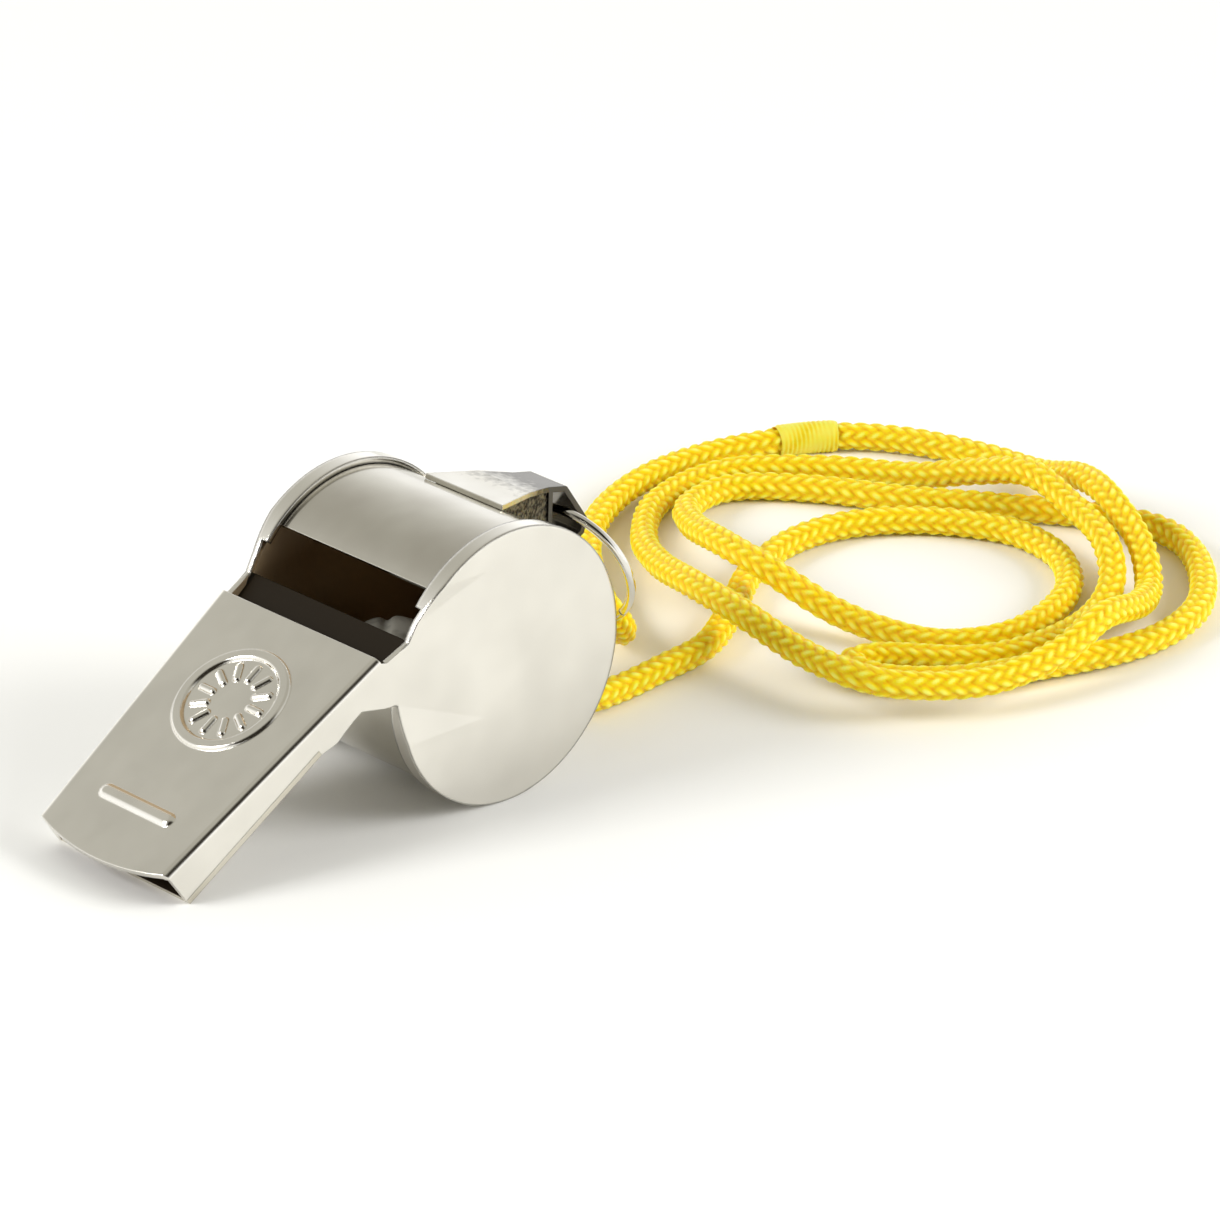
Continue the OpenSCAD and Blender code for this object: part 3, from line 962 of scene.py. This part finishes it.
    def join(
        self, points: list[Vector], turns: list[tuple[Vector, Vector]], total: float
    ) -> bpy.types.Object:
        """Makes the sewn sleeve over the place where the cord's two ends meet.

        Args:
            points: The cord's middle line.
            turns: The directions square to it.
            total: The cord's length.

        Returns:
            The sleeve.
        """
        low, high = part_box("cord_join")
        middle = (low + high) / 2
        centre = min(range(len(points)), key=lambda i: (points[i] - middle).length)
        reach = round(self.join_length / 2 / total * len(points))
        rows = range(centre - reach, centre + reach + 1)
        verts: list[Vector] = []
        heights: list[float] = []
        lines: list[float] = []
        for n, i in enumerate(rows):
            point, (side, up) = points[i], turns[i]
            ends = min(n, len(rows) - 1 - n)
            full = min(1.0, 0.35 + ends / 3)
            for k in range(self.sides):
                wound = (n * self.step / self.thread_pitch + k / self.sides) % 1.0
                height = math.sqrt(max(0.0, 1.0 - (2 * wound - 1) ** 2))
                angle = 2 * math.pi * k / self.sides
                outer = self.diameter / 2 + (self.join_radius - self.diameter / 2) * full
                radius = outer - self.thread_depth * (1 - height)
                verts.append(point + radius * (math.cos(angle) * side + math.sin(angle) * up))
                heights.append(0.3 + 0.7 * height)
                lines.append(wound * 3)
        inner = len(verts)
        for i in rows:
            point, (side, up) = points[i], turns[i]
            for k in range(self.sides):
                angle = 2 * math.pi * k / self.sides
                radius = self.diameter / 2 + self.join_lap
                verts.append(point + radius * (math.cos(angle) * side + math.sin(angle) * up))
                heights.append(0.0)
                lines.append(0.0)
        sides, last = self.sides, len(rows) - 1
        faces = []
        for n in range(last):
            for k in range(sides):
                a, b = n * sides + k, n * sides + (k + 1) % sides
                faces.append((a, b, b + sides, a + sides))
                faces.append((inner + a + sides, inner + b + sides, inner + b, inner + a))
        for k in range(sides):
            a, b = k, (k + 1) % sides
            faces.append((a, inner + a, inner + b, b))
            c, d = last * sides + a, last * sides + b
            faces.append((c, d, inner + d, inner + c))
        sleeve = mesh_piece("cord_join_sleeve", verts, faces, self.thread.make())
        for name, values in (("yarn_height", heights), ("yarn_along", lines)):
            layer = sleeve.data.attributes.new(name, "FLOAT", "POINT")
            layer.data.foreach_set("value", values)
        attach(sleeve, Body.WHISTLE.value)
        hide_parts("cord_join")
        return sleeve


@dataclass
class Pea:
    """The loose ball in the chamber, moulded in two halves with a seam between them."""

    rings: int = 72
    sides: int = 96
    seam_half_deg: float = 5.0
    seam_depth: float = 0.0004
    pole_half_deg: float = 9.0
    pole_depth: float = 0.0003
    pole_way: tuple[float, float, float] = (0.69, -0.71, 0.12)

    def build(self) -> bpy.types.Object:
        """Makes the pea where the CAD has it.

        Returns:
            The pea.
        """
        low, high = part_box("pea")
        centre = (low + high) / 2
        radius = (high.z - low.z) / 2
        tilt = Vector(self.pole_way).to_track_quat("Z", "Y").to_matrix()
        verts = [centre + tilt @ Vector((0, 0, radius - self.pole_depth))]
        for i in range(1, self.rings):
            polar = 180 * i / self.rings
            seam = math.exp(-(((polar - 90) / self.seam_half_deg) ** 2))
            gate = math.exp(-((min(polar, 180 - polar) / self.pole_half_deg) ** 2))
            r = radius - self.seam_depth * seam - self.pole_depth * gate
            for k in range(self.sides):
                turn = 2 * math.pi * k / self.sides
                a = math.radians(polar)
                spot = (math.sin(a) * math.cos(turn), math.sin(a) * math.sin(turn), math.cos(a))
                verts.append(centre + tilt @ (Vector(spot) * r))
        verts.append(centre + tilt @ Vector((0, 0, self.pole_depth - radius)))
        n, end = self.sides, len(verts) - 1
        faces: list[tuple[int, ...]] = [(0, 1 + k, 1 + (k + 1) % n) for k in range(n)]
        for i in range(self.rings - 2):
            for k in range(n):
                a, b = 1 + i * n + k, 1 + i * n + (k + 1) % n
                faces.append((a, a + n, b + n, b))
        base = 1 + (self.rings - 2) * n
        faces += [(end, base + (k + 1) % n, base + k) for k in range(n)]
        pea = mesh_piece("chamber_pea", verts, faces, MouldedPea().make())
        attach(pea, Body.PEA.value)
        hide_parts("pea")
        return pea


@dataclass
class MetalBody:
    """The soldered sheet-metal whistle: CAD shapes with their finishes, some carrying painted
    shade.
    """

    # the stamping gets a painted dark line along its rims' folds, and painted shade inside
    stamping: NickelPlate = NickelPlate(
        "nickel_plated_stamping", "#EAE7DF", "#E0DDD5", 0.13, 0.16, 0.4, inside=Inside.CHAMBER
    )
    # the band gets a painted shade line in the corner under the rims, and painted shade inside
    band: NickelPlate = NickelPlate(
        "nickel_plated_band", "#D1CEC4", "#C5C1B7", 0.16, inside=Inside.CHAMBER, corner_shade_at=8.55
    )
    # the floor's top side, under the top plate, gets a near-black painted shade
    floor: NickelPlate = NickelPlate(
        "nickel_plated_floor", "#D6D1C4", "#C6C0B1", 0.2, inside=Inside.TOP_SIDE,
        painted_inner_shade="#231C12", inner_shade_metallic=0.0,
    )
    # the lug's far end gets a speckled stain mixed with a painted dark reflection
    lug: NickelPlate = NickelPlate(
        "nickel_plated_lug", "#DFDDD5", "#CFCBC0", 0.16, painted_shade_and_stain="#3E392F", stain_and_shade_from=17.6
    )
    wire: NickelPlate = NickelPlate("nickel_plated_wire", "#EAE8E2", "#DDDAD2", 0.08, 0.05, 0.05)
    solder: TinSolder = TinSolder("plated_solder", "#777264", "#26221C")

    def build(self, nodes: dict[str, bpy.types.Object]) -> None:
        """Gives each metal node its finish.

        Args:
            nodes: The CAD objects by node name.
        """
        finishes = {
            "body_stamping": self.stamping.make(),
            "barrel_band": self.band.make(),
            "split_ring": self.wire.make(),
            "lug_solder": self.solder.make(),
            "mouthpiece_floor": self.floor.make(),
            "lanyard_lug": self.lug.make(),
        }
        finishes["windway_solder"] = finishes["lug_solder"]
        for name, material in finishes.items():
            node = nodes[name]
            if not node.material_slots:
                node.data.materials.append(material)
            for slot in node.material_slots:
                slot.material = material
            LOG.info("finished %s in %s", name, material.name)


def main() -> None:
    """Builds the scene in order: camera, cord, pea, metal, studio."""
    logging.basicConfig(level=logging.INFO, format="%(name)s: %(message)s")
    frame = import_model()
    studio = Studio()
    studio.camera()
    LOG.info("camera placed")
    BraidedCord().build()
    Pea().build()
    MetalBody().build(frame["nodes"])
    studio.build()
    bpy.context.scene.view_settings.view_transform = "Standard"
    LOG.info("scene built")


if __name__ == "__main__":
    main()
